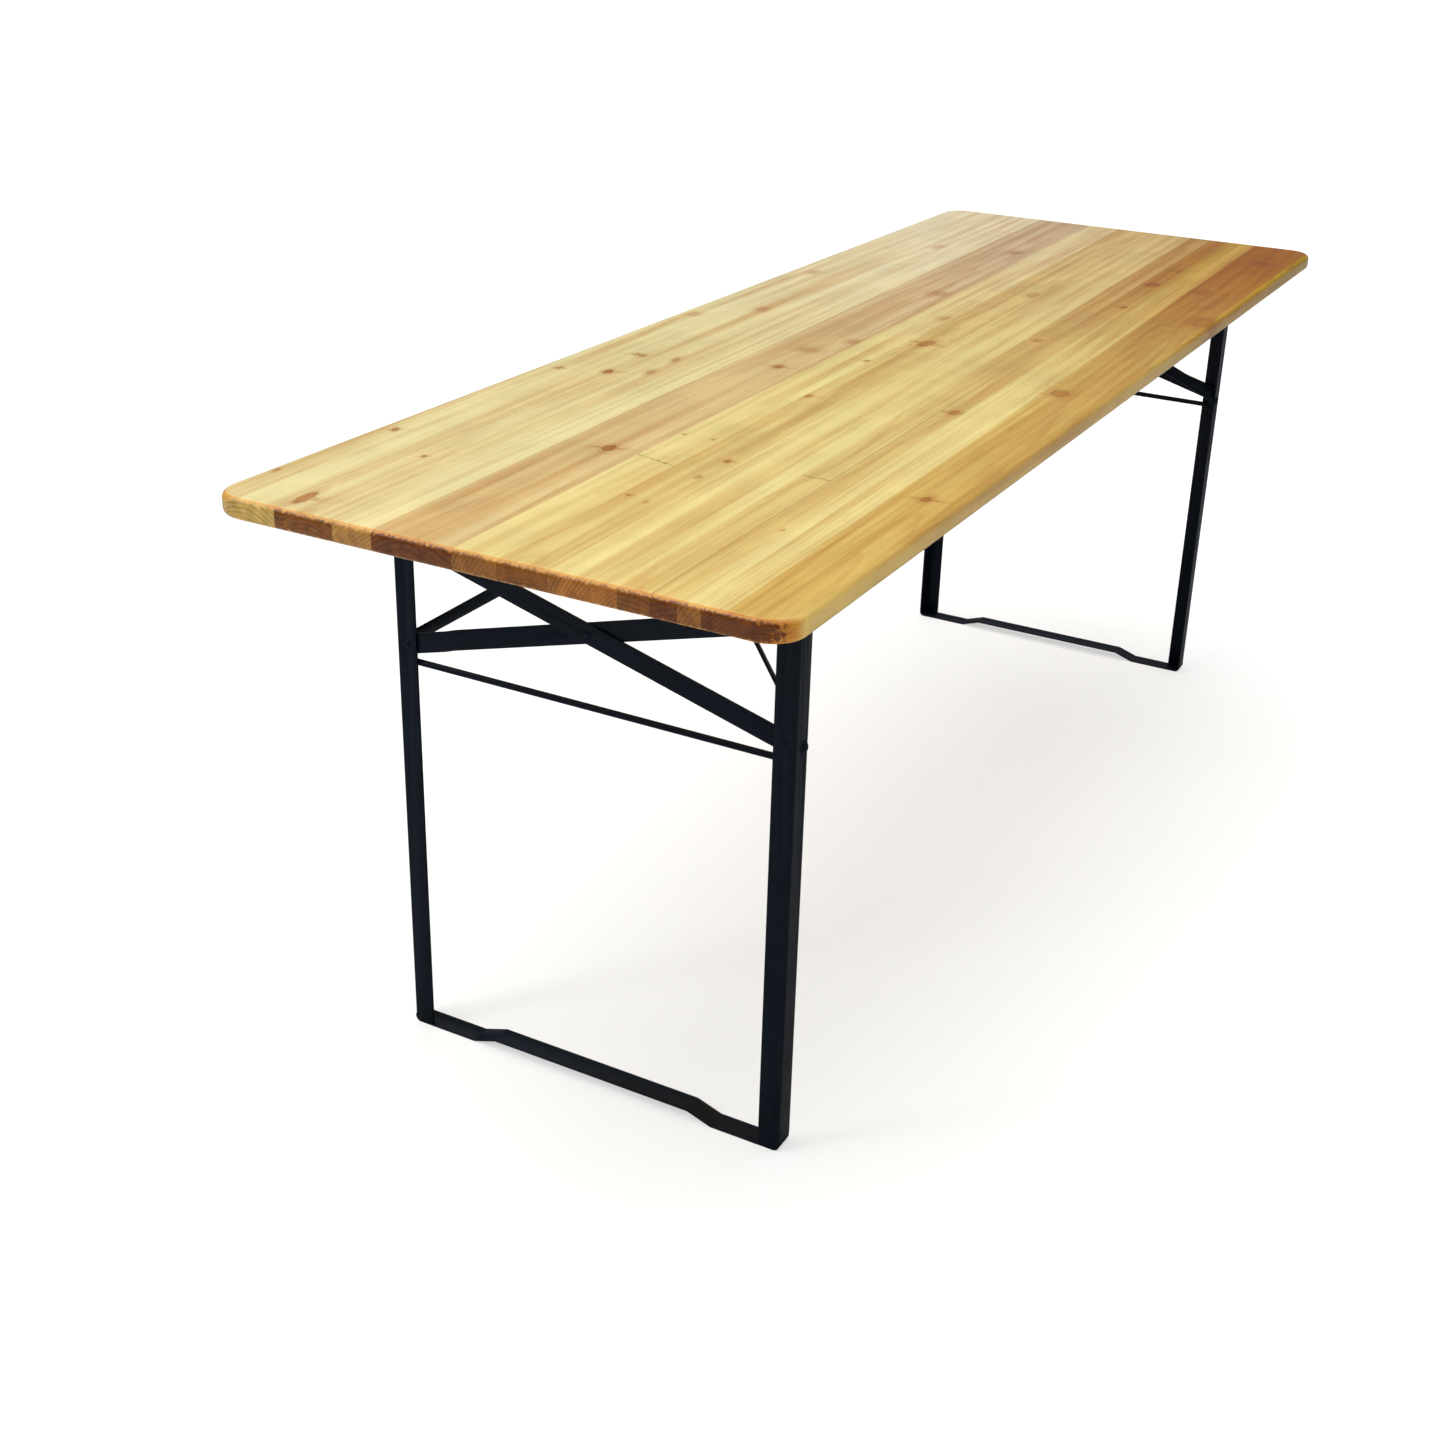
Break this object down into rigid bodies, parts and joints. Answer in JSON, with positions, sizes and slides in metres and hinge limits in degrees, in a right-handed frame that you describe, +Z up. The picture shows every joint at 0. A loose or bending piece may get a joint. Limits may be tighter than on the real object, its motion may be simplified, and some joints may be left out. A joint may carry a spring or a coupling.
{
  "type": "folding table",
  "caption": "Long rectangular folding garden table: glued softwood top with rounded edges on hinged steel angle leg frames, held open by V struts that catch in hooks under the top.",
  "frame": {"origin": "on the floor under the middle of the top", "axes": "+X across the top, +Y along the top from the near end to the far end, +Z up"},
  "size_m": [0.71, 2.09, 0.77],
  "materials": {
    "pine_top": "edge-glued pine, honey varnish, glossy",
    "batten_wood": "planed pine, thin varnish",
    "painted_steel": "blue-black powder coat, semi-gloss",
    "zinc_screw": "zinc-plated wood screws",
    "spring_steel": "blued spring steel"
  },
  "bodies": {
    "table_top": {"top_stave_1": "pine_top", "top_stave_2": "pine_top", "top_stave_3": "pine_top", "top_stave_4": "pine_top", "top_stave_5": "pine_top", "top_stave_6": "pine_top", "top_stave_7": "pine_top", "top_stave_8": "pine_top", "top_stave_9": "pine_top", "top_stave_10": "pine_top", "top_stave_11": "pine_top", "near_batten": "batten_wood", "middle_batten": "batten_wood", "far_batten": "batten_wood", "near_batten_screws": "zinc_screw", "middle_batten_screws": "zinc_screw", "far_batten_screws": "zinc_screw", "near_left_hinge_bracket": "painted_steel", "near_left_bracket_screws": "zinc_screw", "near_right_hinge_bracket": "painted_steel", "near_right_bracket_screws": "zinc_screw", "near_lock_plate": "painted_steel", "near_lock_screws": "zinc_screw", "near_spring_catch": "spring_steel", "near_catch_screw": "zinc_screw", "far_left_hinge_bracket": "painted_steel", "far_left_bracket_screws": "zinc_screw", "far_right_hinge_bracket": "painted_steel", "far_right_bracket_screws": "zinc_screw", "far_lock_plate": "painted_steel", "far_lock_screws": "zinc_screw", "far_spring_catch": "spring_steel", "far_catch_screw": "zinc_screw"},
    "near_leg_frame": {"near_left_leg": "painted_steel", "near_right_leg": "painted_steel", "near_foot_bar": "painted_steel", "near_cross_rod": "painted_steel", "near_brace_flat": "painted_steel", "near_brace_stepped": "painted_steel", "near_brace_rivets": "painted_steel", "near_hinge_pins": "painted_steel", "near_strut_pins": "painted_steel"},
    "near_strut": {"near_left_strut_arm": "painted_steel", "near_right_strut_arm": "painted_steel", "near_apex_pin": "painted_steel"},
    "far_leg_frame": {"far_left_leg": "painted_steel", "far_right_leg": "painted_steel", "far_foot_bar": "painted_steel", "far_cross_rod": "painted_steel", "far_brace_flat": "painted_steel", "far_brace_stepped": "painted_steel", "far_brace_rivets": "painted_steel", "far_hinge_pins": "painted_steel", "far_strut_pins": "painted_steel"},
    "far_strut": {"far_left_strut_arm": "painted_steel", "far_right_strut_arm": "painted_steel", "far_apex_pin": "painted_steel"}
  },
  "joints": [
    {"name": "near_leg_fold", "type": "hinge", "parent": "table_top", "child": "near_leg_frame", "pos_m": [0, -0.828, 0.72], "axis": [1, 0, 0], "range_deg": [0, 90], "deforming": ["near_spring_catch"]},
    {"name": "near_strut_swing", "type": "hinge", "parent": "near_leg_frame", "child": "near_strut", "pos_m": [0, -0.822, 0.53], "axis": [-1, 0, 0], "range_deg": [0, 135]},
    {"name": "far_leg_fold", "type": "hinge", "parent": "table_top", "child": "far_leg_frame", "pos_m": [0, 0.828, 0.72], "axis": [-1, 0, 0], "range_deg": [0, 90], "deforming": ["far_spring_catch"]},
    {"name": "far_strut_swing", "type": "hinge", "parent": "far_leg_frame", "child": "far_strut", "pos_m": [0, 0.822, 0.53], "axis": [1, 0, 0], "range_deg": [0, 135]}
  ],
  "couplings": [
    {"joint": "near_strut_swing", "follows": "near_leg_fold", "ratio": 1.5},
    {"joint": "far_strut_swing", "follows": "far_leg_fold", "ratio": 1.5}
  ]
}
